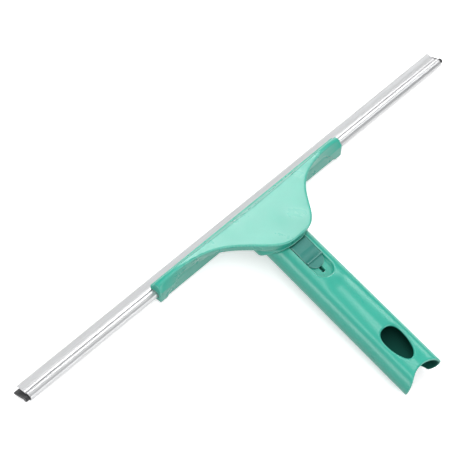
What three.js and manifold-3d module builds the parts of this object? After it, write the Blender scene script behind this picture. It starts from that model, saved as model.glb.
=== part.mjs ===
// Window cleaning squeegee: a click-fit head with an aluminium rail and a rubber blade, on a hollow handle.
// Millimetres, +Z up. The model is laid out in the handle's frame (the handle runs from the seam at y = 0
// towards -Y, with its middle line at z = 0). It is then tilted to lie on its blade and the handle's tail.
import * as THREE from 'three';
import { mergeVertices } from 'three/addons/utils/BufferGeometryUtils.js';
import Module from 'manifold-3d';

const wasm = await Module();
wasm.setup();

// ---- driving dimensions -------------------------------------------------------------------------------
const GAP = 0.3; // clearance between neighbouring pieces
const REST_TILT = THREE.MathUtils.degToRad(3.42); // how far the handle slopes down to its tail when laid down

const RAIL = { length: 400, y: 37.3, z: -12.6, tilt: THREE.MathUtils.degToRad(-14) };
const CHANNEL = { outer: 3.0, inner: 2.15 };
const WING = { front: 10.6, top: 1.5, bottom: 0.5 };
const BLADE = { length: 406, bulb: 1.8, reach: 11, thick: 1.6, slant: THREE.MathUtils.degToRad(-20) };

const HEAD = { half: 88.6, rearY: -1, depth: 40, shoulder: 31, power: 3.35, wall: 2.2, flank: 7 };
const CAVITY = { half: 38, frontY: 32.2 }; // the hollow underneath the plate's middle
const PLATE = { z: 21, slope: 0.47, frontY: 37.5, frontBow: 3.5, droop: 6, droopFrom: 62 };
const BAR = { rearTopY: 33.4, frontY: 41.8, topZ: -5.8, topSlope: 0.25 };

const HANDLE = { seamY: 8, seamSlope: 0.8, headY: 19.6, tailY: -121.4, halfHead: 15.9, halfTail: 16.7,
  top: 12.5, bottom: 10 };
const SECTION_POWER = 2.3; // 2 is an ellipse; more is squarer
const WALL = 2.2;
const VALLEY = { startY: -32.5, openY: -43, fullY: -100, atOpen: 0.55, depth: 3, half: 11, floor: 0.18, rim: 0.12 };
const MOUTH = { radius: 18, notchY: -114.9, underRadius: 11, underY: -119 };
const HOLE = { headY: -81.2, tailY: -107.1, half: 7.8, wideY: -90.5 };
const SOCKET = { half: 10.5, bottom: -7.4, top: 6.0, lipTop: 3.4, lipY: -13, endY: -46 };
const TAIL_CAVITY_Y = -48.5;
const POCKET = { half: 7.3, floor: 9.0, endY: -32.5 };
const FLOOR_SLOT = { half: 1.3, headY: -17.5, tailY: -27.3 };

const PLUG = { half: 9.9, bottom: -6.9, top: 1.2, headY: 28.6, tailY: -42 };
const NECK = { rearY: -4, frontY: 30.2, halfRear: 16, halfMiddle: 20.3, halfFront: 21, bottomRear: 10,
  bottomFront: 12, widenY: 12 };
const PLUG_SCREWS = { x: 6, y: 23.5, headZ: -10.9, length: 9.6, boreZ: -9.3 };
const UNDERPLATE = { innerX: 22.2, outerX: 37.6, frontY: 31, thick: 1.6 };
const UNDERPLATE_SCREWS = [[25.8, 20.5], [32.6, 28]]; // (x, y) on one side; the other side mirrors them
const UNDERPLATE_SCREW_LENGTH = 6.4;
const BOSS = { radius: 2.7, drop: 3.5 };
const SCREW = { head: 2.4, headHeight: 1.4, shank: 1.1, hole: 1.4 };

const BUTTON = { half: 6.95, headY: -2.1, ridgeY: -17, tailY: -23.5, panel: 11.7, ridge: 12.5, base: 9.3 };
const STEM = { half: 1, headY: -18, tailY: -22 };
const CARRIAGE = { half: 9.2, headY: -16.2, tailY: -26, bottom: 3.9, top: 5.7, noseHalf: 3.5, noseDrop: 0.9 };
const LEAF = { half: 3.5, thick: 0.6, z: 1.5, rivetY: -6.5 };
const RIVET = { shank: 0.8, head: 1.9, headHeight: 0.6, depth: 3.1 };
const SPRING = { x: 7.2, z: 4.5, radius: 1.1, wire: 0.35, turns: 6, perTurn: 8 };

const TURQUOISE = { color: 0x6fcfb8, roughness: 0.32, metalness: 0 };
const TURQUOISE_DEEP = { color: 0x4fb79b, roughness: 0.4, metalness: 0 };
const GREY_GREEN = { color: 0x3f7f74, roughness: 0.45, metalness: 0 };
const ALUMINIUM = { color: 0xe6e7e8, roughness: 0.3, metalness: 1 };
const RUBBER = { color: 0x26282a, roughness: 0.75, metalness: 0 };
const STEEL = { color: 0xc4c7ca, roughness: 0.28, metalness: 1 };

// ---- solids and booleans ------------------------------------------------------------------------------
function solid(geometry) {
  const bare = geometry.clone();
  bare.deleteAttribute('normal');
  bare.deleteAttribute('uv');
  const merged = mergeVertices(bare, 1e-4);
  return new wasm.Manifold(new wasm.Mesh({
    numProp: 3,
    vertProperties: new Float32Array(merged.attributes.position.array),
    triVerts: new Uint32Array(merged.index.array),
  }));
}

function geometryOf(manifold) {
  const mesh = manifold.getMesh();
  const geometry = new THREE.BufferGeometry();
  geometry.setAttribute('position', new THREE.BufferAttribute(mesh.vertProperties, 3));
  geometry.setIndex(new THREE.BufferAttribute(mesh.triVerts, 1));
  return geometry;
}

const cut = (body, ...tools) => tools.reduce((left, tool) => left.subtract(tool), body);
const join = (body, ...others) => others.reduce((whole, other) => whole.add(other), body);

function box(x0, x1, y0, y1, z0, z1) {
  const geometry = new THREE.BoxGeometry(x1 - x0, y1 - y0, z1 - z0);
  geometry.translate((x0 + x1) / 2, (y0 + y1) / 2, (z0 + z1) / 2);
  return solid(geometry);
}

// an upright cylinder from z0 to z1
function post(x, y, radius, z0, z1, sides = 20) {
  const geometry = new THREE.CylinderGeometry(radius, radius, z1 - z0, sides);
  geometry.rotateX(Math.PI / 2);
  geometry.translate(x, y, (z0 + z1) / 2);
  return solid(geometry);
}

// a plan outline (x, y) raised from z0 to z1
function raised(shape, z0, z1, curveSegments = 10) {
  const geometry = new THREE.ExtrudeGeometry(shape, { depth: z1 - z0, bevelEnabled: false, curveSegments });
  geometry.translate(0, 0, z0);
  return solid(geometry);
}

// a side outline given as (y, z), run from x0 to x1
function sideways(shape, x0, x1, curveSegments = 8) {
  const geometry = new THREE.ExtrudeGeometry(shape, { depth: x1 - x0, bevelEnabled: false, curveSegments });
  const basis = new THREE.Matrix4().makeBasis(
    new THREE.Vector3(0, 1, 0), new THREE.Vector3(0, 0, 1), new THREE.Vector3(1, 0, 0));
  geometry.applyMatrix4(basis);
  geometry.translate(x0, 0, 0);
  return solid(geometry);
}

function polygon(points) {
  return new THREE.Shape(points.map(([a, b]) => new THREE.Vector2(a, b)));
}

// moves every vertex of a geometry by a rule
function shaped(geometry, rule) {
  const position = geometry.attributes.position;
  const vertex = new THREE.Vector3();
  for (let i = 0; i < position.count; i += 1) {
    vertex.fromBufferAttribute(position, i);
    const [x, y, z] = rule(vertex);
    position.setXYZ(i, x, y, z);
  }
  return solid(geometry);
}

const { lerp, smoothstep, clamp } = THREE.MathUtils;
const signedPower = (value, power) => Math.sign(value) * Math.abs(value) ** power;

// ---- the handle ---------------------------------------------------------------------------------------
// a shallow V along the top, with a rounded floor and soft rims; it opens quickly and then deepens slowly
function valleyAt(x, y) {
  const { startY, openY, fullY, atOpen, depth, half, floor, rim } = VALLEY;
  const open = atOpen * smoothstep(-y, -startY, -openY) + (1 - atOpen) * smoothstep(-y, -openY, -fullY);
  const drop = 1 - Math.hypot(x / half, floor);
  const soft = Math.abs(drop) < rim ? (drop + rim) ** 2 / (4 * rim) : Math.max(drop, 0);
  return depth * open * soft;
}

// the handle's outline at station y, drawn in by inset; angle 0 is +X, a quarter turn is +Z
function handlePoint(angle, y, inset, reach = 1) {
  const along = clamp(y / HANDLE.tailY, 0, 1);
  const half = lerp(HANDLE.halfHead, HANDLE.halfTail, along) - inset;
  const height = (Math.sin(angle) > 0 ? HANDLE.top : HANDLE.bottom) - inset;
  const x = half * signedPower(Math.cos(angle), 2 / SECTION_POWER);
  const z = height * signedPower(Math.sin(angle), 2 / SECTION_POWER);
  return [x * reach, y, (z - (z > 0 ? valleyAt(x, y) * smoothstep(z, 0, height) : 0)) * reach];
}

function handleForm(inset, y0, y1, sides, steps) {
  const rod = new THREE.CylinderGeometry(1, 1, 1, sides, steps);
  return shaped(rod, (p) => {
    const y = lerp(y0, y1, p.y + 0.5);
    return handlePoint(Math.atan2(p.z, p.x), y, inset, Math.hypot(p.x, p.z));
  });
}

// everything on the head's side of the slanted seam, moved along Y
function seamCutter(shift) {
  const reach = 60;
  const at = (z) => HANDLE.seamY - HANDLE.seamSlope * z + shift;
  return sideways(polygon([[at(-reach), -reach], [200, -reach], [200, reach], [at(reach), reach]]), -80, 80);
}

function holeShape() {
  const { headY, tailY, half, wideY } = HOLE;
  const shape = new THREE.Shape();
  shape.moveTo(0, headY);
  shape.bezierCurveTo(half * 0.74, headY, half, headY - 4, half, wideY);
  shape.bezierCurveTo(half, wideY - 7.5, half * 0.66, tailY, 0, tailY);
  shape.bezierCurveTo(-half * 0.66, tailY, -half, wideY - 7.5, -half, wideY);
  shape.bezierCurveTo(-half, headY - 4, -half * 0.74, headY, 0, headY);
  return shape;
}

function pocketShape(half, headY, endY) {
  const shape = new THREE.Shape();
  shape.moveTo(half, headY);
  shape.lineTo(-half, headY);
  shape.lineTo(-half, endY + half);
  shape.absarc(0, endY + half, half, Math.PI, 2 * Math.PI, false);
  return shape;
}

function handleTube() {
  const outer = handleForm(0, HANDLE.tailY, HANDLE.headY, 36, 24);
  const hollow = handleForm(WALL, HANDLE.tailY - 6, TAIL_CAVITY_Y, 24, 12);
  const s = SOCKET;
  return cut(
    outer,
    seamCutter(0),
    hollow,
    box(-s.half, s.half, s.endY, 30, s.bottom, s.lipTop),
    box(-s.half, s.half, s.endY, s.lipY, s.lipTop - 1, s.top),
    raised(pocketShape(POCKET.half, 12, POCKET.endY), POCKET.floor, 30),
    box(-FLOOR_SLOT.half, FLOOR_SLOT.half, FLOOR_SLOT.tailY, FLOOR_SLOT.headY, s.top - 1, 20),
    raised(holeShape(), 0.5, 30),
    post(0, MOUTH.notchY - MOUTH.radius, MOUTH.radius, -30, 30, 48),
    post(0, MOUTH.underY, MOUTH.underRadius, -30, -2, 32),
  );
}

// ---- the release slider -------------------------------------------------------------------------------
function sliderButton() {
  const b = BUTTON;
  const profile = new THREE.Shape();
  profile.moveTo(b.headY, b.panel);
  profile.lineTo(b.ridgeY + 1, b.panel);
  profile.quadraticCurveTo(b.ridgeY + 0.3, b.panel, b.ridgeY + 0.2, b.ridge);
  profile.lineTo(b.ridgeY - 0.4, b.ridge);
  profile.quadraticCurveTo(b.ridgeY - 0.8, b.base + 1.5, b.ridgeY - 3, b.base + 1.3);
  profile.quadraticCurveTo(b.tailY + 0.8, b.base + 1.4, b.tailY, b.base + 0.6);
  profile.lineTo(b.tailY, b.base);
  profile.lineTo(b.headY + (b.panel - b.base) * HANDLE.seamSlope, b.base);
  const plan = pocketShape(b.half, 4, b.tailY);
  const cap = sideways(profile, -b.half, b.half).intersect(raised(plan, 0, 20, 14));
  const stem = box(-STEM.half, STEM.half, STEM.tailY, STEM.headY, CARRIAGE.bottom, b.base + 0.5);
  return join(cap, stem);
}

function sliderCarriage() {
  const c = CARRIAGE;
  const plate = box(-c.half, c.half, c.tailY, c.headY, c.bottom, c.top);
  const nose = sideways(polygon([
    [c.tailY, c.bottom + 0.2], [c.tailY, c.bottom], [c.tailY + 2.6, c.bottom - c.noseDrop],
    [c.tailY + 3.6, c.bottom - c.noseDrop], [c.tailY + 3.6, c.bottom + 0.2]]), -c.noseHalf, c.noseHalf);
  const stemHole = box(-STEM.half - GAP, STEM.half + GAP, STEM.tailY - GAP, STEM.headY + GAP, 0, 9);
  return cut(join(plate, nose), stemHole);
}

function latchSpring(side) {
  const { turns, perTurn, radius, wire } = SPRING;
  const startY = SOCKET.endY + GAP + wire;
  const endY = CARRIAGE.tailY - GAP - wire;
  const steps = turns * perTurn;
  const points = [];
  for (let i = 0; i <= steps; i += 1) {
    const turn = (i / perTurn) * 2 * Math.PI;
    const y = lerp(startY, endY, i / steps);
    points.push(new THREE.Vector3(
      side * SPRING.x + radius * Math.cos(turn), y, SPRING.z + radius * Math.sin(turn)));
  }
  const section = new THREE.Shape();
  section.absarc(0, 0, wire, 0, 2 * Math.PI, false);
  const extrudePath = new THREE.CatmullRomCurve3(points);
  const run = { steps, curveSegments: 3, extrudePath, bevelEnabled: false };
  return solid(new THREE.ExtrudeGeometry(section, run));
}

// ---- the plug and its latch ---------------------------------------------------------------------------
function headPlug() {
  const p = PLUG;
  const plan = polygon([[-p.half + 2, p.tailY], [p.half - 2, p.tailY], [p.half, p.tailY + 5],
    [p.half, p.headY], [-p.half, p.headY], [-p.half, p.tailY + 5]]);
  const screwHoles = [-1, 1].map((side) => (
    post(side * PLUG_SCREWS.x, PLUG_SCREWS.y, SCREW.hole, p.bottom - 1, p.top - 1.8)));
  const rivetHole = post(0, LEAF.rivetY, RIVET.shank + GAP, p.top - RIVET.depth - GAP, p.top + 1, 16);
  return cut(raised(plan, p.bottom, p.top), ...screwHoles, rivetHole);
}

function latchLeaf() {
  const { thick, z } = LEAF;
  const tooth = SOCKET.lipY - GAP - 0.1;
  const profile = polygon([
    [-3, z], [-3, z + thick], [-10, z + thick], [tooth + 0.6, z + thick + 0.2], [tooth, z + thick + 0.2],
    [tooth, 4.9], [tooth - 0.7, 5.0], [tooth - 2.2, z + thick + 0.5], [-34, 3.0], [-34, 2.4],
    [tooth - 2, z + 0.2], [-10, z]]);
  const leaf = sideways(profile, -LEAF.half, LEAF.half);
  return cut(leaf, post(0, LEAF.rivetY, RIVET.shank + GAP, z - 1, z + thick + 1, 16));
}

function latchLeafRivet() {
  const headZ = LEAF.z + LEAF.thick + 0.2;
  const shank = post(0, LEAF.rivetY, RIVET.shank, PLUG.top - RIVET.depth, headZ + 0.2, 16);
  return join(shank, post(0, LEAF.rivetY, RIVET.head, headZ, headZ + RIVET.headHeight, 16));
}

// a countersunk self-tapping screw: head down at z, pointing up
function screw(x, y, z, length) {
  const { head, headHeight, shank } = SCREW;
  const profile = [[0, 0], [head, 0], [head, headHeight * 0.5], [shank, headHeight]];
  const pitch = 1.4;
  for (let at = headHeight + 0.6; at < length - 1.2; at += pitch) {
    profile.push([shank, at], [shank + 0.2, at + pitch * 0.3], [shank, at + pitch * 0.6]);
  }
  profile.push([0, length]);
  const geometry = new THREE.LatheGeometry(profile.map(([r, h]) => new THREE.Vector2(r, h)), 10);
  geometry.rotateX(Math.PI / 2);
  geometry.translate(x, y, z);
  return solid(geometry);
}

// ---- the head -----------------------------------------------------------------------------------------
function plateRearY(x) {
  const s = (Math.abs(x) / HEAD.shoulder) ** HEAD.power;
  return HEAD.rearY + HEAD.depth * (s / (1 + s));
}

const plateFrontY = (x) => PLATE.frontY + PLATE.frontBow * (x / HEAD.half) ** 2;

function plateTopZ(x, y) {
  const beyond = clamp((Math.abs(x) - PLATE.droopFrom) / (HEAD.half - PLATE.droopFrom), 0, 1);
  return PLATE.z - PLATE.slope * y - PLATE.droop * beyond ** 2;
}

const barTopZ = (y) => BAR.topZ - BAR.topSlope * (y - BAR.rearTopY);

// a slab over the plate's outline, out to halfX each way; the rules for its rear and front edges take how far
// up the slab they are, from 0 to 1
function plateForm(halfX, lowZ, highZ, rearAt, frontAt, columns, rows, layers) {
  const block = new THREE.BoxGeometry(2, 1, 1, columns, rows, layers);
  return shaped(block, (p) => {
    const x = p.x * halfX;
    const up = p.z + 0.5;
    const rear = rearAt(x, up);
    const y = lerp(rear, Math.max(frontAt(x, up), rear), p.y + 0.5);
    return [x, y, lerp(lowZ(x, y), highZ(x, y), up)];
  });
}

function headShell() {
  const crown = 0.8; // how far the top edge is drawn in
  const rear = (x, up) => lerp(Math.min(plateRearY(x), BAR.rearTopY), plateRearY(x), up) + crown * up ** 6;
  const front = (x, up) => lerp(BAR.frontY, plateFrontY(x), up) - crown * up ** 6;
  const low = (x, y) => (y > BAR.rearTopY - 0.5 ? barTopZ(y) + GAP : plateTopZ(x, y) - HEAD.flank);
  const outer = plateForm(HEAD.half, low, plateTopZ, rear, front, 44, 9, 3);
  const cavityTop = (x, y) => plateTopZ(x, y) - HEAD.wall;
  const cavityLow = (x, y) => plateTopZ(x, y) - 20;
  const cavityRear = (x) => plateRearY(x) + HEAD.wall;
  const cavity = plateForm(CAVITY.half, cavityLow, cavityTop, cavityRear, () => CAVITY.frontY, 18, 4, 1);
  const bosses = UNDERPLATE_SCREWS.flatMap(([x, y]) => [-1, 1].map((side) => {
    const z = plateTopZ(x, y);
    return post(side * x, y, BOSS.radius, z - BOSS.drop, z - HEAD.wall + 0.6, 12);
  }));
  const pilots = UNDERPLATE_SCREWS.flatMap(([x, y]) => [-1, 1].map((side) => (
    post(side * x, y, SCREW.hole, plateTopZ(x, y) - 9, plateTopZ(x, y) - HEAD.wall + 0.3, 12))));
  return cut(join(cut(outer, cavity), ...bosses), ...pilots);
}

function neckBlock() {
  const n = NECK;
  const rod = new THREE.CylinderGeometry(1, 1, 1, 40, 12);
  const form = shaped(rod, (p) => {
    const y = lerp(n.rearY, n.frontY, p.y + 0.5);
    const angle = Math.atan2(p.z, p.x);
    const reach = Math.hypot(p.x, p.z);
    const ahead = smoothstep(y, n.widenY, n.frontY);
    const half = lerp(lerp(n.halfRear, n.halfMiddle, smoothstep(y, 0, n.widenY)), n.halfFront, ahead);
    const high = Math.min(HANDLE.top, plateTopZ(0, y) - HEAD.flank - GAP);
    const low = -lerp(n.bottomRear, n.bottomFront, ahead);
    const middle = Math.min(0, high - 3);
    const x = half * signedPower(Math.cos(angle), 2 / SECTION_POWER);
    const rise = signedPower(Math.sin(angle), 2 / SECTION_POWER);
    const z = middle + rise * (rise > 0 ? high - middle : middle - low);
    return [x * reach, y, lerp(middle, z, reach)];
  });
  const forward = cut(form, cut(box(-80, 80, -80, 120, -80, 80), seamCutter(GAP)));
  const pocketHalf = PLUG.half + GAP;
  const pocket = box(-pocketHalf, pocketHalf, -20, PLUG.headY + GAP, PLUG.bottom - GAP, PLUG.top + GAP);
  const holes = [-1, 1].flatMap((side) => [
    post(side * PLUG_SCREWS.x, PLUG_SCREWS.y, SCREW.hole, -30, PLUG.bottom + 1),
    post(side * PLUG_SCREWS.x, PLUG_SCREWS.y, SCREW.head + GAP, -30, PLUG_SCREWS.boreZ),
  ]);
  return cut(forward, pocket, ...holes);
}

function underplate(side) {
  const u = UNDERPLATE;
  const block = new THREE.BoxGeometry(1, 1, 1, 12, 4, 1);
  const form = shaped(block, (p) => {
    const x = side * lerp(u.innerX, u.outerX, side * p.x + 0.5);
    const y = lerp(plateRearY(x) + HEAD.wall + 2 * GAP, u.frontY, p.y + 0.5);
    const low = plateTopZ(x, y) - HEAD.flank + 0.3;
    return [x, y, lerp(low, low + u.thick, p.z + 0.5)];
  });
  const holes = UNDERPLATE_SCREWS.map(([x, y]) => post(side * x, y, SCREW.hole, -20, 30));
  return cut(form, ...holes);
}

// runs a section given in the rail's own axes along X
function alongRail(shape, length, curveSegments) {
  const geometry = new THREE.ExtrudeGeometry(shape, { depth: length, bevelEnabled: false, curveSegments });
  geometry.translate(0, 0, -length / 2);
  geometry.applyMatrix4(new THREE.Matrix4().makeBasis(
    new THREE.Vector3(0, 1, 0), new THREE.Vector3(0, 0, 1), new THREE.Vector3(1, 0, 0)));
  geometry.rotateX(RAIL.tilt);
  geometry.translate(0, RAIL.y, RAIL.z);
  return solid(geometry);
}

const degrees = THREE.MathUtils.degToRad;

function clampBar() {
  const bore = CHANNEL.outer + GAP;
  const roof = WING.top + GAP;
  const shape = new THREE.Shape();
  shape.moveTo(4.6, roof);
  shape.lineTo(4.2, 5.6);
  shape.lineTo(-4.9, 5.6);
  shape.quadraticCurveTo(-5.6, 5.6, -5.6, 4.9);
  shape.lineTo(-5.3, -4.1);
  shape.quadraticCurveTo(-5.2, -4.7, -4.6, -4.7);
  shape.lineTo(0.2, -4.7);
  shape.lineTo(0.2, -bore);
  shape.absarc(0, 0, bore, degrees(-88), degrees(-326.9), true);
  return alongRail(shape, 2 * HEAD.half, 20);
}

function aluminiumRail() {
  const shape = new THREE.Shape();
  shape.moveTo(WING.front, WING.top - 0.3);
  shape.lineTo(WING.front - 0.3, WING.top);
  shape.lineTo(WING.front - 2, WING.top - 0.1);
  shape.quadraticCurveTo(6.3, WING.top - 0.35, 3.4, WING.top);
  shape.lineTo(2.75, WING.top - 0.35);
  shape.absarc(0, 0, CHANNEL.outer, degrees(23), degrees(285), false);
  shape.lineTo(4.0, -3.6);
  shape.lineTo(4.0, -2.75);
  shape.lineTo(1.33, -1.72);
  shape.absarc(0, 0, CHANNEL.inner, degrees(-52), degrees(-349), true);
  shape.lineTo(2.7, WING.bottom);
  shape.lineTo(WING.front - 1.2, WING.bottom - 0.1);
  shape.lineTo(WING.front - 0.9, WING.bottom - 0.6);
  shape.lineTo(WING.front, WING.bottom - 0.5);
  return alongRail(shape, RAIL.length, 12);
}

function rubberBlade() {
  const half = BLADE.thick / 2;
  const spread = Math.asin(half / BLADE.bulb);
  const shape = new THREE.Shape();
  const turn = (a, b) => [a * Math.cos(BLADE.slant) - b * Math.sin(BLADE.slant),
    a * Math.sin(BLADE.slant) + b * Math.cos(BLADE.slant)];
  shape.moveTo(...turn(BLADE.reach, half - 0.25));
  shape.lineTo(...turn(BLADE.reach - 4.5, half));
  shape.absarc(0, 0, BLADE.bulb, BLADE.slant + spread, BLADE.slant - spread + 2 * Math.PI, false);
  shape.lineTo(...turn(BLADE.reach - 4.5, -half));
  shape.lineTo(...turn(BLADE.reach, -half + 0.25));
  return alongRail(shape, BLADE.length, 14);
}

// ---- assembly -----------------------------------------------------------------------------------------
const laid = new THREE.Group();
laid.rotation.x = REST_TILT;

function place(name, manifold, finish) {
  const mesh = new THREE.Mesh(geometryOf(manifold), new THREE.MeshStandardMaterial(finish));
  mesh.name = name;
  laid.add(mesh);
}

place('handle_tube', handleTube(), TURQUOISE);
place('slider_button', sliderButton(), GREY_GREEN);
place('slider_carriage', sliderCarriage(), GREY_GREEN);
place('latch_spring_left', latchSpring(-1), STEEL);
place('latch_spring_right', latchSpring(1), STEEL);
place('head_shell', headShell(), TURQUOISE);
place('clamp_bar', clampBar(), TURQUOISE_DEEP);
place('neck_block', neckBlock(), TURQUOISE);
place('underplate_left', underplate(-1), TURQUOISE_DEEP);
place('underplate_right', underplate(1), TURQUOISE_DEEP);
place('head_plug', headPlug(), TURQUOISE_DEEP);
place('latch_leaf', latchLeaf(), STEEL);
place('latch_leaf_rivet', latchLeafRivet(), STEEL);
place('plug_screw_left', screw(-PLUG_SCREWS.x, PLUG_SCREWS.y, PLUG_SCREWS.headZ, PLUG_SCREWS.length), STEEL);
place('plug_screw_right', screw(PLUG_SCREWS.x, PLUG_SCREWS.y, PLUG_SCREWS.headZ, PLUG_SCREWS.length), STEEL);
UNDERPLATE_SCREWS.forEach(([x, y], row) => {
  const z = plateTopZ(x, y) - HEAD.flank - UNDERPLATE.thick - 0.1;
  place(`underplate_screw_${2 * row + 1}`, screw(-x, y, z, UNDERPLATE_SCREW_LENGTH), STEEL);
  place(`underplate_screw_${2 * row + 2}`, screw(x, y, z, UNDERPLATE_SCREW_LENGTH), STEEL);
});
place('aluminium_rail', aluminiumRail(), ALUMINIUM);
place('rubber_blade', rubberBlade(), RUBBER);

// the origin is the middle of the footprint, on the surface that the squeegee lies on
const squeegee = new THREE.Group();
squeegee.add(laid);
squeegee.updateMatrixWorld(true);
const bounds = new THREE.Box3().setFromObject(squeegee, true);
squeegee.position.set(0, -(bounds.min.y + bounds.max.y) / 2, -bounds.min.z);

export default squeegee;
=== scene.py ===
"""Looks for a window cleaning squeegee: smooth moulded bodies, an extruded rail and blade, and a studio.

Shapes are worked out in the handle's frame in millimetres, as the CAD solids are. The handle runs from the
seam at y = 0 towards -Y, with its middle line at z = 0. LAID tilts and moves them to where the frame lies.
"""
import math

import bpy
import numpy as np
from mathutils import Matrix, Vector


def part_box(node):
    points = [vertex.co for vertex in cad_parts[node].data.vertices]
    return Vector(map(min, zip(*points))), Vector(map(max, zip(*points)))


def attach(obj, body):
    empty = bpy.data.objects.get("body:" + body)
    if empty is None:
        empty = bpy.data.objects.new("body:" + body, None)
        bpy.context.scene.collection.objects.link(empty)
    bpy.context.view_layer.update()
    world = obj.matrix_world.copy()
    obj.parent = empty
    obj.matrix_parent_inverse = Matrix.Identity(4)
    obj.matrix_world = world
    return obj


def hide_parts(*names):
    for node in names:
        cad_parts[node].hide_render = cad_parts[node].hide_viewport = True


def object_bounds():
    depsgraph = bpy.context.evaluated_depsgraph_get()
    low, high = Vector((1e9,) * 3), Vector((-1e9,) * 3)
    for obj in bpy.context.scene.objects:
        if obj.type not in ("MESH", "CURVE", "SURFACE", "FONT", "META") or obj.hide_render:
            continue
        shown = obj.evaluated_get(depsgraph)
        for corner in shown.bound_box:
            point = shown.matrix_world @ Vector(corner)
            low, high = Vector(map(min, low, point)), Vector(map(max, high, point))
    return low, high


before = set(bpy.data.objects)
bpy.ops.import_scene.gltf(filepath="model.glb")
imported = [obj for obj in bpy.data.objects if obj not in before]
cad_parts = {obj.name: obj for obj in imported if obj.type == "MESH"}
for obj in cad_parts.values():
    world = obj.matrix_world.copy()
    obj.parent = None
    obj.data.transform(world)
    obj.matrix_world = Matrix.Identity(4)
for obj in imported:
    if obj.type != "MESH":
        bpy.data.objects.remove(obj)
cad_low, cad_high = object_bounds()

# ---- dimensions, in millimetres in the handle's frame ------------------------------------------------
MM = 0.001
GAP = 0.3
REST_TILT = math.radians(3.42)

RAIL_HALF = 200.0
RAIL_Y, RAIL_Z, RAIL_TILT = 37.3, -12.6, math.radians(-14)
CHANNEL_OUTER, CHANNEL_INNER = 3.0, 2.15
WING_FRONT, WING_TOP, WING_BOTTOM = 10.6, 1.5, 0.5
NOSE, GROOVE = 2.0, 3.4
RAIL_FILLET, RAIL_BEVEL = 0.16, 0.12

BLADE_HALF, BLADE_BULB, BLADE_REACH, BLADE_THICK = 203.0, 1.8, 11.0, 1.6
BLADE_SLANT = math.radians(-20)
BLADE_TAPER = 4.5
BLADE_FILLET, BLADE_BEVEL = 0.12, 0.15

HEAD_HALF, HEAD_REAR, HEAD_DEPTH = 88.6, -1.0, 40.0
SHOULDER, SHOULDER_POWER = 31.0, 3.35
HEAD_WALL, HEAD_FLANK = 2.2, 7.0
SUNK, CREASE_OUT, CREASE_DROP = 0.8, (69.0, 87.0), 21.0
CAVITY_HALF, CAVITY_FRONT = 38.0, 32.2
PLATE_Z, PLATE_SLOPE, PLATE_FRONT, PLATE_BOW = 21.0, 0.47, 37.5, 3.5
DROOP, DROOP_FROM = 6.0, 62.0
PLATE_EDGE, PLATE_LIP, TIP_EDGE = 1.0, 0.7, 0.6
BAR_REAR_TOP, BAR_FRONT = 33.4, 41.8
BAR_TOP_Z, BAR_TOP_SLOPE = -5.8, 0.25
BAR_LOW, BAR_HIGH, BAR_EDGE = (-5.1, -4.2), (4.0, 5.1), 0.5
BOSSES = ((25.8, 20.5), (32.6, 28.0))
BOSS_RADIUS, BOSS_DROP, SCREW_HOLE = 2.7, 3.5, 1.4

SEAM_Y, SEAM_SLOPE, SEAM_EDGE = 8.0, 0.8, 0.45
TAIL_Y, HALF_AT_HEAD, HALF_AT_TAIL = -121.4, 15.9, 16.7
HANDLE_TOP, HANDLE_BOTTOM = 12.5, 10.0
SECTION_POWER, WALL = 2.3, 2.2
VALLEY_START, VALLEY_OPEN, VALLEY_FULL, VALLEY_AT_OPEN = -32.5, -43.0, -100.0, 0.55
VALLEY_DEPTH, VALLEY_HALF, VALLEY_FLOOR, VALLEY_RIM = 3.0, 11.0, 0.18, 0.12
MOUTH_RADIUS, NOTCH_Y, MOUTH_EDGE = 18.0, -114.9, 0.9
UNDER_RADIUS, UNDER_Y, UNDER_Z = 11.0, -119.0, -2.0
EAR_RADIUS, EAR_REACH = 4.5, 1.1
HOLE_HEAD, HOLE_TAIL, HOLE_HALF, HOLE_WIDE = -81.2, -107.1, 7.8, -90.5
HOLE_EDGE = 1.0
CAVITY_Y, CAVITY_EDGE = -48.5, 0.8
SOCKET_HALF, SOCKET_BOTTOM, SOCKET_TOP, SOCKET_END = 10.5, -7.4, 6.0, -46.0
SOCKET_LIP, SOCKET_LIP_Y = 3.4, -13.0
POCKET_HALF, POCKET_FLOOR, POCKET_END, POCKET_EDGE = 7.3, 9.0, -32.5, 0.5
SLOT_HALF, SLOT_HEAD, SLOT_TAIL = 1.3, -17.5, -27.3

NECK_REAR, NECK_FRONT, NECK_WIDEN = -4.0, 30.2, 12.0
NECK_HALVES = (16.0, 20.3, 21.0)
NECK_BOTTOMS = (10.0, 12.0)
PLUG_HALF, PLUG_BOTTOM, PLUG_TOP = 9.9, -6.9, 1.2
PLUG_HEAD, PLUG_TAIL = 28.6, -42.0
PLUG_SCREW_X, PLUG_SCREW_Y, PLUG_BORE_Z, SCREW_HEAD = 6.0, 23.5, -9.3, 2.4
BORE_EDGE = 0.3

BUTTON_HALF, BUTTON_HEAD, RIDGE_Y, BUTTON_TAIL = 6.95, -2.1, -17.0, -23.5
BUTTON_PANEL, BUTTON_RIDGE, BUTTON_BASE = 11.7, 12.5, 9.3
DISH_Y, DISH_DEPTH = -9.0, 0.6
STEM_HALF, STEM_HEAD, STEM_TAIL, STEM_BOTTOM = 1.0, -18.0, -22.0, 3.9

plug_low, plug_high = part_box("head_plug")
cosine, sine = math.cos(REST_TILT), math.sin(REST_TILT)
SHIFT = Vector((
    0,
    plug_high.y - (PLUG_HEAD * cosine - PLUG_BOTTOM * sine) * MM,
    plug_low.z - (PLUG_TAIL * sine + PLUG_BOTTOM * cosine) * MM,
))
LAID = Matrix.Translation(SHIFT) @ Matrix.Rotation(REST_TILT, 4, "X") @ Matrix.Scale(MM, 4)


# ---- small helpers on arrays ---------------------------------------------------------------------------
def lerp(a, b, t):
    return a + (b - a) * t


def smoothstep(value, low, high):
    t = np.clip((value - low) / (high - low), 0, 1)
    return t * t * (3 - 2 * t)


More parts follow.
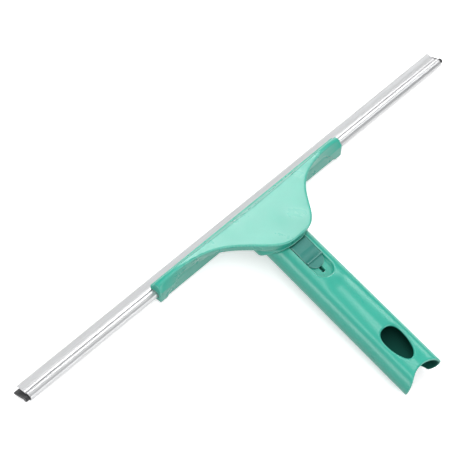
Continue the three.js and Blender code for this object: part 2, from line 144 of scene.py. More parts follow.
def both(a, b, radius):
    """the part in a and in b, with the edge between them rounded"""
    corner = np.hypot(np.maximum(a + radius, 0), np.maximum(b + radius, 0))
    return np.minimum(np.maximum(a, b), -radius) + corner


def either(a, b, radius):
    """a joined to b, with a fillet between them"""
    return -both(-a, -b, radius)


def without(a, b, radius):
    return both(a, -b, radius)


def distance(rule, p, step=0.02):
    """an implicit function turned into a distance, to first order"""
    value = rule(p)
    slopes = [(rule(p + step * axis) - value) / step for axis in np.eye(3)]
    return value / np.sqrt(sum(s * s for s in slopes) + 1e-12)


def slab(p, low, high):
    """the signed distance to an upright box"""
    q = np.maximum(np.array(low) - p, p - np.array(high))
    return np.minimum(q.max(axis=1), 0) + np.linalg.norm(np.maximum(q, 0), axis=1)


def outline_distance(points, a, b):
    """the signed distance to a closed outline, at the points (a, b)"""
    best = np.full(a.shape, np.inf)
    inside = np.zeros(a.shape, bool)
    for (a0, b0), (a1, b1) in zip(points, points[1:] + points[:1]):
        ea, eb = a1 - a0, b1 - b0
        t = np.clip(((a - a0) * ea + (b - b0) * eb) / (ea * ea + eb * eb), 0, 1)
        best = np.minimum(best, np.hypot(a - a0 - t * ea, b - b0 - t * eb))
        if b0 != b1:
            crosses = (b0 > b) != (b1 > b)
            inside ^= crosses & (a < ea * (b - b0) / eb + a0)
    return np.where(inside, -best, best)


def bezier(p0, p1, p2, p3, count):
    t = np.linspace(0, 1, count, endpoint=False)[:, None]
    p0, p1, p2, p3 = (np.array(p, float) for p in (p0, p1, p2, p3))
    return (1 - t) ** 3 * p0 + 3 * (1 - t) ** 2 * t * p1 + 3 * (1 - t) * t * t * p2 + t ** 3 * p3


# ---- from a distance field to a clean mesh of quads ------------------------------------------------------
CORNERS = [(i, j, k) for i in (0, 1) for j in (0, 1) for k in (0, 1)]
EDGES = [(a, b) for a in range(8) for b in range(a + 1, 8)
         if sum(abs(CORNERS[a][n] - CORNERS[b][n]) for n in range(3)) == 1]


def surface_net(values, origin, cell):
    """one vertex per cell that the surface passes through, and one quad per grid edge that it crosses"""
    inside = values < 0
    size = np.array(values.shape) - 1
    window = [tuple(slice(c, c + n) for c, n in zip(corner, size)) for corner in CORNERS]
    filled = sum(inside[w].astype(np.int8) for w in window)
    active = (filled > 0) & (filled < 8)
    cells = np.argwhere(active)
    index = np.full(active.shape, -1)
    index[active] = np.arange(len(cells))
    at = np.stack([values[tuple((cells + corner).T)] for corner in CORNERS], 1)
    total, count = np.zeros((len(cells), 3)), np.zeros(len(cells))
    for a, b in EDGES:
        crossing = (at[:, a] < 0) != (at[:, b] < 0)
        t = at[crossing, a] / (at[crossing, a] - at[crossing, b])
        start, end = np.array(CORNERS[a], float), np.array(CORNERS[b], float)
        total[crossing] += start + t[:, None] * (end - start)
        count[crossing] += 1
    vertices = origin + cell * (cells + total / count[:, None])
    quads = []
    for axis in range(3):
        u, v = (axis + 1) % 3, (axis + 2) % 3
        near = [slice(1, -1)] * 3
        far = [slice(1, -1)] * 3
        near[axis], far[axis] = slice(0, -1), slice(1, None)
        low, high = inside[tuple(near)], inside[tuple(far)]
        found = np.argwhere(low != high)
        outward = low[tuple(found.T)]
        base = found + 1
        base[:, axis] -= 1
        ring = []
        for du, dv in ((-1, -1), (0, -1), (0, 0), (-1, 0)):
            spot = base.copy()
            spot[:, u] += du
            spot[:, v] += dv
            ring.append(index[tuple(spot.T)])
        ring = np.stack(ring, 1)
        ring[~outward] = ring[~outward][:, ::-1]
        quads.append(ring)
    return vertices, np.concatenate(quads)


def gradient(field, p, step=0.05):
    return np.stack([(field(p + step * axis) - field(p - step * axis)) / (2 * step) for axis in np.eye(3)], 1)


def settle(field, vertices, quads, cell):
    """evens out the mesh along the surface and brings it back onto the surface"""
    pairs = np.concatenate([quads[:, [n, (n + 1) % 4]] for n in range(4)])
    degree = np.bincount(pairs.ravel(), minlength=len(vertices))
    for rounds_left in (3, 2, 1, 0):
        for _ in range(2):
            slope = gradient(field, vertices)
            step = field(vertices) / np.maximum((slope * slope).sum(1), 0.2)
            vertices = vertices - np.clip(step, -0.4 * cell, 0.4 * cell)[:, None] * slope
        if not rounds_left:
            return vertices
        mean = np.zeros_like(vertices)
        np.add.at(mean, pairs[:, 0], vertices[pairs[:, 1]])
        np.add.at(mean, pairs[:, 1], vertices[pairs[:, 0]])
        slope = gradient(field, vertices)
        normal = slope / np.maximum(np.linalg.norm(slope, axis=1), 1e-6)[:, None]
        move = 0.5 * (mean / degree[:, None] - vertices)
        vertices = vertices + move - (move * normal).sum(1)[:, None] * normal
    return vertices


def bend_at(vertices, quads, normals, cell):
    """how sharply the surface bends at each vertex, in 1/mm: positive on outer edges, negative in corners"""
    pairs = np.concatenate([quads[:, [n, (n + 1) % 4]] for n in range(4)])
    pairs = np.concatenate([pairs, pairs[:, ::-1]])
    between = vertices[pairs[:, 1]] - vertices[pairs[:, 0]]
    squared = np.maximum((between * between).sum(1), (0.6 * cell) ** 2)
    amount = -2 * (between * normals[pairs[:, 0]]).sum(1) / squared
    total = np.bincount(pairs[:, 0], amount, minlength=len(vertices))
    return total / np.maximum(np.bincount(pairs[:, 0], minlength=len(vertices)), 1)


def add_piece(name, vertices, faces, body, material, replaced, marks=None):
    mesh = bpy.data.meshes.new(name)
    rows = np.array(vertices, float) @ np.array(LAID.to_3x3()).T + np.array(LAID.translation)
    mesh.from_pydata(rows.tolist(), [], [list(map(int, f)) for f in faces])
    mesh.validate()
    mesh.update()
    for mark, values in (marks or {}).items():
        mesh.attributes.new(mark, "FLOAT", "POINT").data.foreach_set("value", values.astype(np.float32))
    mesh.shade_smooth()
    mesh.materials.append(material)
    piece = bpy.data.objects.new(name, mesh)
    bpy.context.scene.collection.objects.link(piece)
    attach(piece, body)
    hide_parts(*replaced)
    return piece


def moulded(name, field, low, high, cell, body, material, replaced, skin=None):
    """a piece moulded to a field, which is mirrored about x = 0; low and high hold its half with x above 0

    skin, where given, is the distance to the outer surface, and marks how deep inside it each vertex lies
    """
    low, high = np.array(low, float), np.array(high, float)
    counts = np.ceil((high - low) / cell).astype(int) + 3
    counts[0] = int(math.ceil(high[0] / cell)) + 2
    xs = (np.arange(counts[0]) + 0.5) * cell
    ys = low[1] - cell + np.arange(counts[1]) * cell
    zs = low[2] - cell + np.arange(counts[2]) * cell
    points = np.stack(np.meshgrid(xs, ys, zs, indexing="ij"), -1).reshape(-1, 3)
    half = field(points).reshape(counts)
    values = np.concatenate([half[::-1], half])
    vertices, quads = surface_net(values, np.array([-xs[-1], ys[0], zs[0]]), cell)
    vertices = settle(field, vertices, quads, cell)
    slope = gradient(field, vertices)
    normals = slope / np.maximum(np.linalg.norm(slope, axis=1), 1e-6)[:, None]
    marks = {"bend": bend_at(vertices, quads, normals, cell)}
    if skin:
        marks["depth"] = -skin(vertices)
    return add_piece(name, vertices, quads, body, material, replaced, marks)


# ---- the handle ------------------------------------------------------------------------------------------
def valley(x, y):
    """the depth of the shallow V along the handle's top, with a rounded floor and soft rims"""
    opened = VALLEY_AT_OPEN * smoothstep(-y, -VALLEY_START, -VALLEY_OPEN)
    opened = opened + (1 - VALLEY_AT_OPEN) * smoothstep(-y, -VALLEY_OPEN, -VALLEY_FULL)
    drop = 1 - np.hypot(x / VALLEY_HALF, VALLEY_FLOOR)
    rim = (drop + VALLEY_RIM) ** 2 / (4 * VALLEY_RIM)
    soft = np.where(np.abs(drop) < VALLEY_RIM, rim, np.maximum(drop, 0))
    return VALLEY_DEPTH * opened * soft


def rounded_section(p, inset):
    """the handle's outline, drawn in by inset: a squarish ellipse with a shallow valley along the top"""
    x, y, z = p.T
    half = lerp(HALF_AT_HEAD, HALF_AT_TAIL, np.clip(y / TAIL_Y, 0, 1)) - inset
    height = np.where(z > 0, HANDLE_TOP, HANDLE_BOTTOM) - inset
    lowered = valley(x, y)
    raised = z
    for _ in range(3):
        raised = z + lowered * smoothstep(raised, 0, height)
    total = np.abs(x / half) ** SECTION_POWER + np.abs(raised / height) ** SECTION_POWER
    return total ** (1 / SECTION_POWER) - 1


HOLE_MIDDLE = (HOLE_HEAD + HOLE_TAIL) / 2 + 1


def hole_reach():
    """the hanging hole's outline as a radius for each angle about its middle"""
    h = HOLE_HALF
    right = np.concatenate([
        bezier((0, HOLE_HEAD), (h * 0.74, HOLE_HEAD), (h, HOLE_HEAD - 4), (h, HOLE_WIDE), 60),
        bezier((h, HOLE_WIDE), (h, HOLE_WIDE - 7.5), (h * 0.66, HOLE_TAIL), (0, HOLE_TAIL), 60),
        [(0, HOLE_TAIL)],
    ])
    angle = np.arctan2(right[:, 0], right[:, 1] - HOLE_MIDDLE)
    return angle, np.hypot(right[:, 0], right[:, 1] - HOLE_MIDDLE)


HOLE_ANGLES, HOLE_RADII = hole_reach()


def hole_field(p):
    angle = np.arctan2(np.abs(p[:, 0]), p[:, 1] - HOLE_MIDDLE)
    return np.hypot(p[:, 0], p[:, 1] - HOLE_MIDDLE) - np.interp(angle, HOLE_ANGLES, HOLE_RADII)


def pocket_plan(p, half, tail):
    """the distance to a slot with a round tail end, in plan"""
    beyond = np.minimum(p[:, 1] - (tail + half), 0)
    return np.hypot(p[:, 0], beyond) - half


def handle_skin(p):
    """the distance to the handle's outside, without its ends and openings"""
    return distance(lambda q: rounded_section(q, 0), p)


def handle_field(p):
    x, y, z = p.T
    body = both(handle_skin(p), (y + SEAM_SLOPE * z - SEAM_Y) / math.hypot(1, SEAM_SLOPE), SEAM_EDGE)
    mouth = MOUTH_RADIUS - np.hypot(x, y - (NOTCH_Y - MOUTH_RADIUS))
    body = both(body, both(TAIL_Y - EAR_REACH - y, mouth, EAR_RADIUS), MOUTH_EDGE)
    under = np.maximum(np.hypot(x, y - UNDER_Y) - UNDER_RADIUS, z - UNDER_Z)
    body = without(body, under, CAVITY_EDGE)
    hollow = np.maximum(distance(lambda q: rounded_section(q, WALL), p), y - CAVITY_Y)
    body = without(body, hollow, CAVITY_EDGE)
    body = without(body, np.maximum(distance(hole_field, p), 0.5 - z), HOLE_EDGE)
    socket = np.minimum(
        slab(p, (-SOCKET_HALF, SOCKET_END, SOCKET_BOTTOM), (SOCKET_HALF, 30, SOCKET_LIP)),
        slab(p, (-SOCKET_HALF, SOCKET_END, SOCKET_LIP - 1), (SOCKET_HALF, SOCKET_LIP_Y, SOCKET_TOP)))
    body = without(body, socket, BORE_EDGE)
    pocket = both(pocket_plan(p, POCKET_HALF, POCKET_END), POCKET_FLOOR - z, POCKET_EDGE)
    body = without(body, pocket, POCKET_EDGE)
    slot = slab(p, (-SLOT_HALF, SLOT_TAIL, SOCKET_TOP - 1), (SLOT_HALF, SLOT_HEAD, 20))
    return without(body, slot, 0.25)


# ---- the release slider ------------------------------------------------------------------------------------
def button_profile():
    """the slider's side outline as (y, z): a panel dished at its tail end, a thumb ridge, and a low tail"""
    head, ridge, tail = BUTTON_HEAD, RIDGE_Y, BUTTON_TAIL
    top, high, base = BUTTON_PANEL, BUTTON_RIDGE, BUTTON_BASE
    points = [(head, top), (head - 0.8, top)]
    for y in np.linspace(DISH_Y, ridge + 1.6, 10):
        along = (y - DISH_Y) / (ridge + 0.8 - DISH_Y)
        points.append((y, top - DISH_DEPTH * math.sin(math.pi * along)))
    crest = [(ridge + 0.9, top + 0.1), (ridge + 0.5, top + 0.45), (ridge + 0.2, high - 0.1), (ridge, high)]
    back = [(ridge - 0.4, high - 0.05), (ridge - 0.6, high - 0.4), (ridge - 0.7, base + 1.7)]
    low = [(ridge - 1.2, base + 1.2), (ridge - 3.2, base + 1.15), (tail + 0.9, base + 1), (tail, base + 0.6)]
    return points + crest + back + low + [(tail, base), (head + (top - base) * SEAM_SLOPE, base)]


BUTTON_PROFILE = button_profile()


def button_field(p):
    cap = outline_distance(BUTTON_PROFILE, p[:, 1], p[:, 2])
    cap = both(cap, pocket_plan(p, BUTTON_HALF, BUTTON_TAIL), 0.5)
    stem = slab(p, (-STEM_HALF, STEM_TAIL, STEM_BOTTOM), (STEM_HALF, STEM_HEAD, BUTTON_BASE + 0.5))
    return either(cap, stem, 0.3)


# ---- the head ----------------------------------------------------------------------------------------------
def plate_rear(x):
    s = (np.abs(x) / SHOULDER) ** SHOULDER_POWER
    return HEAD_REAR + HEAD_DEPTH * s / (1 + s)


def plate_front(x):
    return PLATE_FRONT + PLATE_BOW * (x / HEAD_HALF) ** 2


def plate_top(x, y):
    beyond = np.clip((np.abs(x) - DROOP_FROM) / (HEAD_HALF - DROOP_FROM), 0, 1)
    return PLATE_Z - PLATE_SLOPE * y - DROOP * beyond ** 2


def bar_top(y):
    return BAR_TOP_Z - BAR_TOP_SLOPE * (y - BAR_REAR_TOP)


def plate_fields(p):
    """top, rear, front and lower faces of the plate as distances"""
    x, y, z = p.T
    incline = math.hypot(1, PLATE_SLOPE)
    top = plate_top(x, y)
    up = np.clip((z - bar_top(y)) / np.maximum(top - bar_top(y), 1), 0, 1.2)
    rear_low = np.minimum(plate_rear(x), BAR_REAR_TOP)
    over_bar = smoothstep(plate_rear(x), BAR_REAR_TOP - 1.5, BAR_REAR_TOP + 1.5)
    rear = lerp(plate_rear(x), lerp(rear_low, plate_rear(x), up), over_bar)
    front = lerp(BAR_FRONT, plate_front(x), up)
    low = either((top - HEAD_FLANK - z) / incline,
                 np.maximum(BAR_REAR_TOP - 0.5 - y, bar_top(y) - 1 - z), 0.6)
    return top, rear, front, low


def rail_axes(p):
    """forward and up in the rail's own section"""
    y, z = p[:, 1] - RAIL_Y, p[:, 2] - RAIL_Z
    c, s = math.cos(RAIL_TILT), math.sin(RAIL_TILT)
    return y * c + z * s, z * c - y * s


def sunk(p):
    """how far the rear face is set back under the crease along the flank, which runs out at the tips"""
    x, y, z = p.T
    flank = lerp(HEAD_FLANK, CREASE_DROP, smoothstep(np.abs(x), *CREASE_OUT))
    return SUNK * smoothstep(plate_top(x, y) - flank - z, -0.2, 0.5)


def bar_field(p):
    u, v = rail_axes(p)
    block = np.stack([p[:, 0], np.where(u < -2, u - sunk(p), u), v], 1)
    half = HEAD_HALF - BAR_EDGE
    bar = slab(block, (-half, *BAR_LOW), (half, *BAR_HIGH)) - BAR_EDGE
    bore = np.hypot(u, v) - (CHANNEL_OUTER + GAP)
    wing_gap = np.maximum(0.2 - u, v - (WING_TOP + GAP))
    return without(without(bar, bore, 0.2), wing_gap, 0.35)


def head_field(p):
    x, y, z = p.T
    incline = math.hypot(1, PLATE_SLOPE)
    top, _, _, low = plate_fields(p)
    plate = both((z - top) / incline, low, PLATE_LIP)
    rear = distance(lambda q: plate_fields(q)[1] + sunk(q) - q[:, 1], p)
    front = distance(lambda q: q[:, 1] - plate_fields(q)[2], p)
    plate = both(plate, rear, PLATE_EDGE)
    plate = both(plate, front, PLATE_EDGE)
    plate = both(plate, np.abs(x) - HEAD_HALF, TIP_EDGE)
    inner_rear = distance(lambda q: plate_rear(q[:, 0]) + HEAD_WALL - q[:, 1], p)
    hollow = np.maximum(np.maximum((z - top + HEAD_WALL) / incline, np.abs(x) - CAVITY_HALF),
                        np.maximum(inner_rear, y - CAVITY_FRONT))
    hollow = np.maximum(hollow, (top - 20 - z) / incline)
    plate = without(plate, hollow, BORE_EDGE)
    for boss_x, boss_y in BOSSES:
        boss_top = plate_top(boss_x, boss_y)
        axis = np.hypot(np.abs(x) - boss_x, y - boss_y)
        ends = np.maximum(boss_top - BOSS_DROP - z, z - boss_top + HEAD_WALL - 0.6)
        plate = either(plate, np.maximum(axis - BOSS_RADIUS, ends), 0.2)
        plate = without(plate, np.maximum(axis - SCREW_HOLE, z - boss_top + HEAD_WALL - 0.3), 0.15)
    return either(plate, bar_field(p), 0.5)


def neck_form(p):
    x, y, z = p.T
    ahead = smoothstep(y, NECK_WIDEN, NECK_FRONT)
    half = lerp(lerp(NECK_HALVES[0], NECK_HALVES[1], smoothstep(y, 0, NECK_WIDEN)), NECK_HALVES[2], ahead)
    high = np.minimum(HANDLE_TOP, plate_top(0 * y, y) - HEAD_FLANK - GAP)
    low = -lerp(NECK_BOTTOMS[0], NECK_BOTTOMS[1], ahead)
    middle = np.minimum(0, high - 3)
    rise = np.where(z > middle, (z - middle) / (high - middle), (middle - z) / (middle - low))
    total = np.abs(x / half) ** SECTION_POWER + np.abs(rise) ** SECTION_POWER
    return total ** (1 / SECTION_POWER) - 1


def neck_field(p):
    x, y, z = p.T
    body = distance(neck_form, p)
    body = both(body, (SEAM_Y + GAP - y - SEAM_SLOPE * z) / math.hypot(1, SEAM_SLOPE), SEAM_EDGE)
    body = both(body, y - NECK_FRONT, 0.5)
    half = PLUG_HALF + GAP
    pocket = slab(p, (-half, -20, PLUG_BOTTOM - GAP), (half, PLUG_HEAD + GAP, PLUG_TOP + GAP))
    body = without(body, pocket, BORE_EDGE)
    axis = np.hypot(np.abs(x) - PLUG_SCREW_X, y - PLUG_SCREW_Y)
    body = without(body, np.maximum(axis - SCREW_HOLE, z - PLUG_BOTTOM - 1), 0.1)
    return without(body, np.maximum(axis - SCREW_HEAD - GAP, z - PLUG_BORE_Z), 0.2)


# ---- the rail and the blade --------------------------------------------------------------------------------
def arc(radius, start, end, count):
    return [(radius * math.cos(math.radians(a)), radius * math.sin(math.radians(a)))
            for a in np.linspace(start, end, count)]


def filleted(points, radius, steps=4):
    """rounds a closed outline's corners, less where its sides are short"""
    result = []
    for before, at, after in zip(points[-1:] + points[:-1], points, points[1:] + points[:1]):
        before, at, after = np.array(before), np.array(at), np.array(after)
        a, b = before - at, after - at
        la, lb = np.linalg.norm(a), np.linalg.norm(b)
        turn = math.acos(np.clip(-(a @ b) / (la * lb), -1, 1))
        if turn < math.radians(25):
            result.append(tuple(at))
            continue
        reach = min(radius * math.tan(turn / 2), 0.45 * la, 0.45 * lb)
        start, end = at + a / la * reach, at + b / lb * reach
        for t in np.linspace(0, 1, steps + 1):
            result.append(tuple((1 - t) ** 2 * start + 2 * t * (1 - t) * at + t * t * end))
    return result


def extruded(name, outline, half, bevel, body, material, replaced):
    """runs an outline in the rail's own section along X, with a fine bevel at both ends"""
    loop = np.array(outline)
    if 0.5 * np.sum(loop[:, 0] * np.roll(loop[:, 1], -1) - np.roll(loop[:, 0], -1) * loop[:, 1]) < 0:
        loop = loop[::-1]
    ahead, behind = np.roll(loop, -1, 0) - loop, loop - np.roll(loop, 1, 0)
    normal = np.stack([ahead[:, 1], -ahead[:, 0]], 1) / np.linalg.norm(ahead, axis=1)[:, None]
    normal += np.stack([behind[:, 1], -behind[:, 0]], 1) / np.linalg.norm(behind, axis=1)[:, None]
    normal /= np.linalg.norm(normal, axis=1)[:, None]
    stations = [(-half, bevel), (-half + bevel, 0)]
    stations += [(x, 0) for x in np.linspace(-half + bevel, half - bevel, 41)[1:-1]]
    stations += [(half - bevel, 0), (half, bevel)]
    c, s = math.cos(RAIL_TILT), math.sin(RAIL_TILT)
    vertices = []
    for x, inset in stations:
        section = loop - inset * normal
        y = RAIL_Y + section[:, 0] * c - section[:, 1] * s
        z = RAIL_Z + section[:, 0] * s + section[:, 1] * c
        vertices += [(x, a, b) for a, b in zip(y, z)]
    n = len(loop)
    faces = []
    for row in range(len(stations) - 1):
        for i in range(n):
            j = (i + 1) % n
            faces.append((row * n + i, row * n + j, (row + 1) * n + j, (row + 1) * n + i))
    faces.append(tuple(range(n))[::-1])
    faces.append(tuple(range((len(stations) - 1) * n, len(stations) * n)))
    piece = add_piece(name, vertices, faces, body, material, replaced)
    piece.data.set_sharp_from_angle(angle=math.radians(40))
    return piece


def rail_outline():
    front, top, bottom = WING_FRONT, WING_TOP, WING_BOTTOM
    nose = [(front, bottom - 0.5), (front, top - 0.3), (front - 0.3, top), (front - NOSE, top - 0.1)]
    dished = [(lerp(front - NOSE, GROOVE, t), top - 0.1 - 0.2 * math.sin(math.pi * t))
              for t in np.linspace(0.1, 0.9, 8)]
    groove = [(GROOVE, top), (GROOVE - 0.35, top - 0.02), (GROOVE - 0.65, top - 0.4)]
    lip = [(4.0, -3.6), (4.0, -2.75), (1.33, -1.72)]
    under = [(2.7, bottom), (front - 1.2, bottom - 0.1), (front - 0.9, bottom - 0.6)]
    channel = arc(CHANNEL_OUTER, 23, 285, 44)
    bore = arc(CHANNEL_INNER, -52, -349, 44)
    return filleted(nose + dished + groove + channel + lip + bore + under, RAIL_FILLET)


def blade_outline():
    half = BLADE_THICK / 2
    spread = math.degrees(math.asin(half / BLADE_BULB))
    strip_top = [(BLADE_REACH, half - 0.25), (BLADE_REACH - BLADE_TAPER, half)]
    strip_low = [(BLADE_REACH - BLADE_TAPER, -half), (BLADE_REACH, -half + 0.25)]
    points = strip_top + arc(BLADE_BULB, spread, 360 - spread, 28) + strip_low
    c, s = math.cos(BLADE_SLANT), math.sin(BLADE_SLANT)
    return filleted([(a * c - b * s, a * s + b * c) for a, b in points], BLADE_FILLET)


# ---- materials ---------------------------------------------------------------------------------------------
class Nodes:
    """a material's node tree, with short calls that add and link nodes"""

    def __init__(self, name):
        self.material = bpy.data.materials.new(name)
        self.material.use_nodes = True
        self.tree = self.material.node_tree
        self.shader = self.tree.nodes["Principled BSDF"]
        self.where = self.add("ShaderNodeTexCoord").outputs["Object"]

    def add(self, kind, inputs=None, **settings):
        node = self.tree.nodes.new(kind)
        for key, value in settings.items():
            setattr(node, key, value)
        for key, value in (inputs or {}).items():
            self.feed(node.inputs[key], value)
        return node

    def feed(self, socket, value):
        if isinstance(value, bpy.types.NodeSocket):
            self.tree.links.new(value, socket)
        else:
            socket.default_value = value

    def noise(self, scale, detail=2.0, stretch=(1, 1, 1), roughness=0.5, seed=0.0):
        placing = {"Vector": self.where, "Scale": stretch, "Location": (seed, seed, seed)}
        moved = self.add("ShaderNodeMapping", placing)
        inputs = {"Vector": moved.outputs[0], "Scale": scale, "Detail": detail, "Roughness": roughness}
        return self.add("ShaderNodeTexNoise", inputs).outputs["Fac"]

    def ramp(self, value, low, high, out_low=0.0, out_high=1.0):
        inputs = {"Value": value, "From Min": low, "From Max": high, "To Min": out_low, "To Max": out_high}
        return self.add("ShaderNodeMapRange", inputs).outputs[0]

    def maths(self, operation, a, b):
        return self.add("ShaderNodeMath", {0: a, 1: b}, operation=operation).outputs[0]

    def mark(self, name):
        """a value that the mesh carries at its vertices, or 0 on a mesh without it"""
        return self.add("ShaderNodeAttribute", attribute_name=name).outputs["Fac"]

    def mix(self, factor, a, b):
        node = self.add("ShaderNodeMix", data_type="RGBA")
        colours = [s for s in node.inputs if s.type == "RGBA"]
        self.feed(node.inputs[0], factor)
        self.feed(colours[0], a)
        self.feed(colours[1], b)
        return [s for s in node.outputs if s.type == "RGBA"][0]

    def bump(self, height, depth, normal=None):
        inputs = {"Height": height, "Distance": depth, "Strength": 1.0}
        if normal is not None:
            inputs["Normal"] = normal
        return self.add("ShaderNodeBump", inputs).outputs[0]

    def set(self, **values):
        for key, value in values.items():
            self.feed(self.shader.inputs[key.replace("_", " ")], value)


def shade(colour, amount):
    return tuple(min(1.0, c * amount) for c in colour) + (1.0,)


def moulded_plastic(name, colour, roughness, edge_highlight, seed):
    """glossy moulded plastic: flow clouds, fine grain, handling smears, painted highlights on the edges,
    painted shade in creases and inside
    """
    n = Nodes(name)
    cloud = n.noise(38, 3, seed=seed)
    fleck = n.noise(520, 2, seed=seed + 3)
    smear = n.noise(85, 4, stretch=(1, 0.35, 1), roughness=0.6, seed=seed + 7)
    grain = n.noise(2600, 2, seed=seed + 11)
    bend = n.mark("bend")
    # painted highlight: convex edges, found from the bend mark, are paled and made a little glossier
    edge = n.maths("MULTIPLY", n.ramp(bend, 0.35, 1.6), n.ramp(fleck, 0.25, 0.7, 0.8, 1.0))
    # painted shade: inner corners and creases, found from the bend mark
    corner = n.ramp(bend, -0.25, -1.4)
    base = n.mix(n.ramp(cloud, 0.3, 0.7), shade(colour, 0.955), shade(colour, 1.03))
    base = n.mix(n.ramp(fleck, 0.35, 0.75, 0.0, 0.35), base, shade(colour, 0.93))
    # painted highlight: a pale tint mixed in along convex edges
    base = n.mix(n.maths("MULTIPLY", edge, edge_highlight), base, (0.72, 0.94, 0.88, 1))
    # painted shade: creases and inner corners darkened towards a deeper copy of the colour
    base = n.mix(n.maths("MULTIPLY", corner, 0.45), base, shade(colour, 0.45))
    # painted shade: the inside of the handle, found from the depth mark, is darkened to a quarter of the
    # colour
    inner = n.ramp(n.mark("depth"), 0.8, 1.9)
    base = n.mix(inner, base, shade(colour, 0.24))
    rough = n.maths("ADD", n.ramp(smear, 0.3, 0.75, -0.02, 0.05), roughness)
    rough = n.maths("SUBTRACT", rough, n.maths("MULTIPLY", edge, 0.08))
    rough = n.maths("ADD", rough, n.maths("MULTIPLY", inner, 0.45))
    normal = n.bump(grain, 0.000008, n.bump(fleck, 0.000008, n.bump(cloud, 0.00002)))
    n.set(Base_Color=base, Roughness=rough, Specular_IOR_Level=n.ramp(inner, 0.0, 1.0, 0.5, 0.1))
    n.set(Normal=normal, IOR=1.54)
    n.set(Subsurface_Weight=0.08, Subsurface_Radius=(0.6, 1.0, 0.9), Subsurface_Scale=0.002)
    return n.material


def drawn_aluminium(name):
    """extruded aluminium: fine lines along its length, dull bands between them, and a few handling marks"""
    n = Nodes(name)
    lines = n.noise(1.0, 3, stretch=(5, 900, 900), roughness=0.6)
    fine = n.noise(1.0, 2, stretch=(16, 4200, 4200), roughness=0.5, seed=5)
    cloud = n.noise(30, 3, stretch=(0.5, 1, 1), seed=9)
    mark = n.noise(1.0, 4, stretch=(90, 1500, 1500), roughness=0.7, seed=13)
    base = n.mix(n.ramp(lines, 0.3, 0.7), (0.47, 0.475, 0.48, 1), (0.61, 0.61, 0.61, 1))
    base = n.mix(n.ramp(mark, 0.62, 0.72, 0.0, 0.5), base, (0.37, 0.38, 0.39, 1))
    base = n.mix(n.ramp(cloud, 0.4, 0.7, 0.0, 0.25), base, (0.56, 0.57, 0.58, 1))
    rough = n.maths("ADD", n.ramp(lines, 0.3, 0.7, 0.5, 0.38), n.ramp(mark, 0.6, 0.75, 0.0, 0.18))
    normal = n.bump(fine, 0.000006, n.bump(lines, 0.000025))
    n.set(Base_Color=base, Roughness=rough, Normal=normal, Metallic=1.0)
    return n.material


def blade_rubber(name):
    """black rubber: matt and slightly dusty, with greyer, rougher cut ends"""
    n = Nodes(name)
    cloud = n.noise(60, 3)
    dust = n.noise(700, 4, roughness=0.65, seed=4)
    grain = n.noise(3200, 2, seed=8)
    facing = n.add("ShaderNodeNewGeometry").outputs["True Normal"]
    endways = n.add("ShaderNodeSeparateXYZ", {0: facing}).outputs["X"]
    cut = n.ramp(n.maths("ABSOLUTE", endways, 0.0), 0.85, 0.98)
    base = n.mix(n.ramp(cloud, 0.3, 0.7), (0.016, 0.017, 0.018, 1), (0.027, 0.028, 0.03, 1))
    base = n.mix(n.ramp(dust, 0.52, 0.8, 0.0, 0.4), base, (0.075, 0.077, 0.08, 1))
    base = n.mix(n.maths("MULTIPLY", cut, 0.85), base, (0.17, 0.172, 0.175, 1))
    rough = n.maths("ADD", n.ramp(dust, 0.35, 0.75, 0.5, 0.68), n.maths("MULTIPLY", cut, 0.2))
    n.set(Base_Color=base, Roughness=rough, Normal=n.bump(grain, 0.00002, n.bump(dust, 0.00003)))
    return n.material


def spring_steel(name, colour, roughness):
    """plated steel: drawn lines, a faint oil bloom, and duller spots"""
    n = Nodes(name)
    lines = n.noise(1.0, 3, stretch=(2500, 200, 2500))
    spot = n.noise(900, 3, seed=6)
    base = n.mix(n.ramp(lines, 0.3, 0.7), shade(colour, 0.88), shade(colour, 1.08))
    base = n.mix(n.ramp(spot, 0.58, 0.75, 0.0, 0.45), base, (0.36, 0.34, 0.31, 1))
    drawn = n.ramp(lines, 0.3, 0.7, roughness, roughness + 0.1)
    rough = n.maths("ADD", n.ramp(spot, 0.4, 0.7, 0.0, 0.2), drawn)
    n.set(Base_Color=base, Roughness=rough, Normal=n.bump(lines, 0.00001), Metallic=1.0)
    return n.material


TURQUOISE = (0.034, 0.43, 0.32)
TURQUOISE_DEEP = (0.025, 0.36, 0.26)
GREY_GREEN = (0.026, 0.24, 0.2)

turquoise = moulded_plastic("turquoise_plastic", TURQUOISE, 0.29, 0.6, 0.0)
turquoise_head = moulded_plastic("turquoise_plastic_head", TURQUOISE, 0.28, 0.6, 21.0)
turquoise_deep = moulded_plastic("turquoise_plastic_inner", TURQUOISE_DEEP, 0.45, 0.2, 5.0)
grey_green = moulded_plastic("grey_green_plastic", GREY_GREEN, 0.42, 0.25, 11.0)
aluminium = drawn_aluminium("drawn_aluminium")
rubber = blade_rubber("blade_rubber")
steel = spring_steel("plated_steel", (0.62, 0.63, 0.64), 0.26)
leaf_steel = spring_steel("leaf_steel", (0.5, 0.5, 0.51), 0.32)

CARRIED = {
    "slider_carriage": grey_green, "head_plug": turquoise_deep, "underplate_left": turquoise_deep,
    "underplate_right": turquoise_deep, "latch_leaf": leaf_steel,
}
STEEL_NODES = ("latch_spring", "latch_leaf_rivet", "plug_screw", "underplate_screw")
for node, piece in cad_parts.items():
    finish = steel if node.startswith(STEEL_NODES) else CARRIED.get(node)
    if finish:
        piece.data.materials.clear()
        piece.data.materials.append(finish)

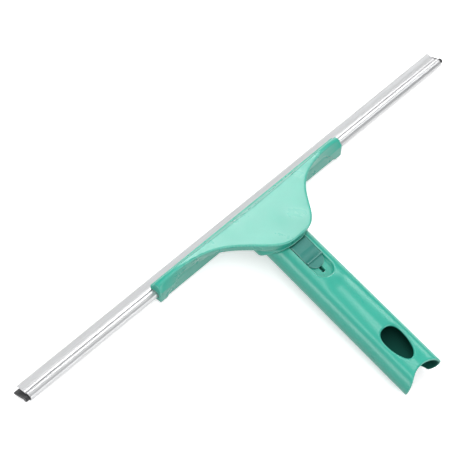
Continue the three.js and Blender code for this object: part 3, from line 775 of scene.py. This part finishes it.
# ---- the pieces ------------------------------------------------------------------------------------------
FINE = 1.0
# the skin gives the handle its depth mark, which the plastic uses to paint shade inside the tube
moulded("handle", handle_field, (0, TAIL_Y, -HANDLE_BOTTOM), (HALF_AT_TAIL, 16.5, HANDLE_TOP), 0.7 * FINE,
        "handle", turquoise, ["handle_tube"],
        skin=lambda p: np.maximum(handle_skin(p), p[:, 1] - CAVITY_Y - 2))
moulded("head", head_field, (0, HEAD_REAR, -19.0), (HEAD_HALF, 44.0, 21.6), 0.75 * FINE,
        "head", turquoise_head, ["head_shell", "clamp_bar"])
moulded("neck", neck_field, (0, NECK_REAR, -12.2), (21.2, NECK_FRONT, HANDLE_TOP + 0.2), 0.6 * FINE,
        "head", turquoise, ["neck_block"])
moulded("release_slider", button_field, (0, BUTTON_TAIL, STEM_BOTTOM), (BUTTON_HALF, 0.2, BUTTON_RIDGE),
        0.28 * FINE, "slider", grey_green, ["slider_button"])
extruded("rail", rail_outline(), RAIL_HALF, RAIL_BEVEL, "head", aluminium, ["aluminium_rail"])
extruded("blade", blade_outline(), BLADE_HALF, BLADE_BEVEL, "blade", rubber, ["rubber_blade"])

# ---- floor, lights and camera --------------------------------------------------------------------------
floor_mesh = bpy.data.meshes.new("floor")
FLOOR_HALF = 4.0
corners = [(a * FLOOR_HALF, b * FLOOR_HALF, 0) for a, b in ((-1, -1), (1, -1), (1, 1), (-1, 1))]
floor_mesh.from_pydata(corners, [], [(0, 1, 2, 3)])
floor = bpy.data.objects.new("floor", floor_mesh)
floor.location.z = cad_low.z - 0.0002
bpy.context.scene.collection.objects.link(floor)
paper = Nodes("pale_floor")
paper.set(Base_Color=(0.9, 0.9, 0.9, 1), Roughness=0.8)
paper.set(Emission_Color=(1, 1, 1, 1), Emission_Strength=0.5)
floor_mesh.materials.append(paper.material)
floor.visible_diffuse = False

world = bpy.data.worlds.new("studio")
bpy.context.scene.world = world
world.use_nodes = True
sky = world.node_tree
background = sky.nodes["Background"]
background.inputs["Color"].default_value = (0.96, 0.975, 1.0, 1)
height = sky.nodes.new("ShaderNodeSeparateXYZ")
sky.links.new(sky.nodes.new("ShaderNodeTexCoord").outputs["Generated"], height.inputs[0])
brightness = sky.nodes.new("ShaderNodeMapRange")
for socket, value in {"From Min": -0.02, "From Max": 0.9, "To Min": 0.1, "To Max": 0.44}.items():
    brightness.inputs[socket].default_value = value
sky.links.new(height.outputs["Z"], brightness.inputs["Value"])
sky.links.new(brightness.outputs[0], background.inputs["Strength"])


LIGHT_DISTANCE = 2.2


def softbox(name, toward, wide, deep, radiance):
    """a soft rectangular light in a direction from the object and turned to it, in metres"""
    direction = Vector(toward).normalized()
    data = bpy.data.lights.new(name, "AREA")
    data.shape = "RECTANGLE"
    data.size, data.size_y = wide, deep
    data.energy = radiance * math.pi * wide * deep
    light = bpy.data.objects.new(name, data)
    light.location = direction * LIGHT_DISTANCE
    light.rotation_euler = (-direction).to_track_quat("-Z", "Y").to_euler()
    bpy.context.scene.collection.objects.link(light)


softbox("key_light", (-0.19, 0.12, 0.975), 2.1, 0.75, 3.3)
softbox("right_light", (0.663, 0.12, 0.74), 0.9, 0.7, 5.5)
softbox("sheen_light", (0.42, 0.82, 0.36), 0.8, 0.9, 9.0)
softbox("side_light", (-0.93, 0.1, 0.32), 1.3, 0.9, 5.0)
softbox("fill_light", (0.15, -0.85, 0.45), 1.3, 0.9, 4.8)

# the camera's place and directions are in the handle's frame too
CAMERA_SPOT = (-613.8, -203.5, 1091.5)
CAMERA_FORWARD, CAMERA_UP = (0.4671, 0.1915, -0.8632), (0.5581, 0.6933, 0.4559)
SENSOR, LENS = 36.0, 152.564
data = bpy.data.cameras.new("camera")
data.sensor_width, data.lens = SENSOR, LENS
data.clip_start, data.clip_end = 0.05, 20
camera = bpy.data.objects.new("camera", data)
forward = Vector(CAMERA_FORWARD).normalized()
rightward = forward.cross(Vector(CAMERA_UP)).normalized()
upward = rightward.cross(forward)
turn = Matrix((rightward, upward, -forward)).transposed()
spot = LAID @ Vector(CAMERA_SPOT)
camera.matrix_world = Matrix.Translation(spot) @ (Matrix.Rotation(REST_TILT, 3, "X") @ turn).to_4x4()
bpy.context.scene.collection.objects.link(camera)
bpy.context.scene.camera = camera
bpy.context.scene.view_settings.view_transform = "Standard"
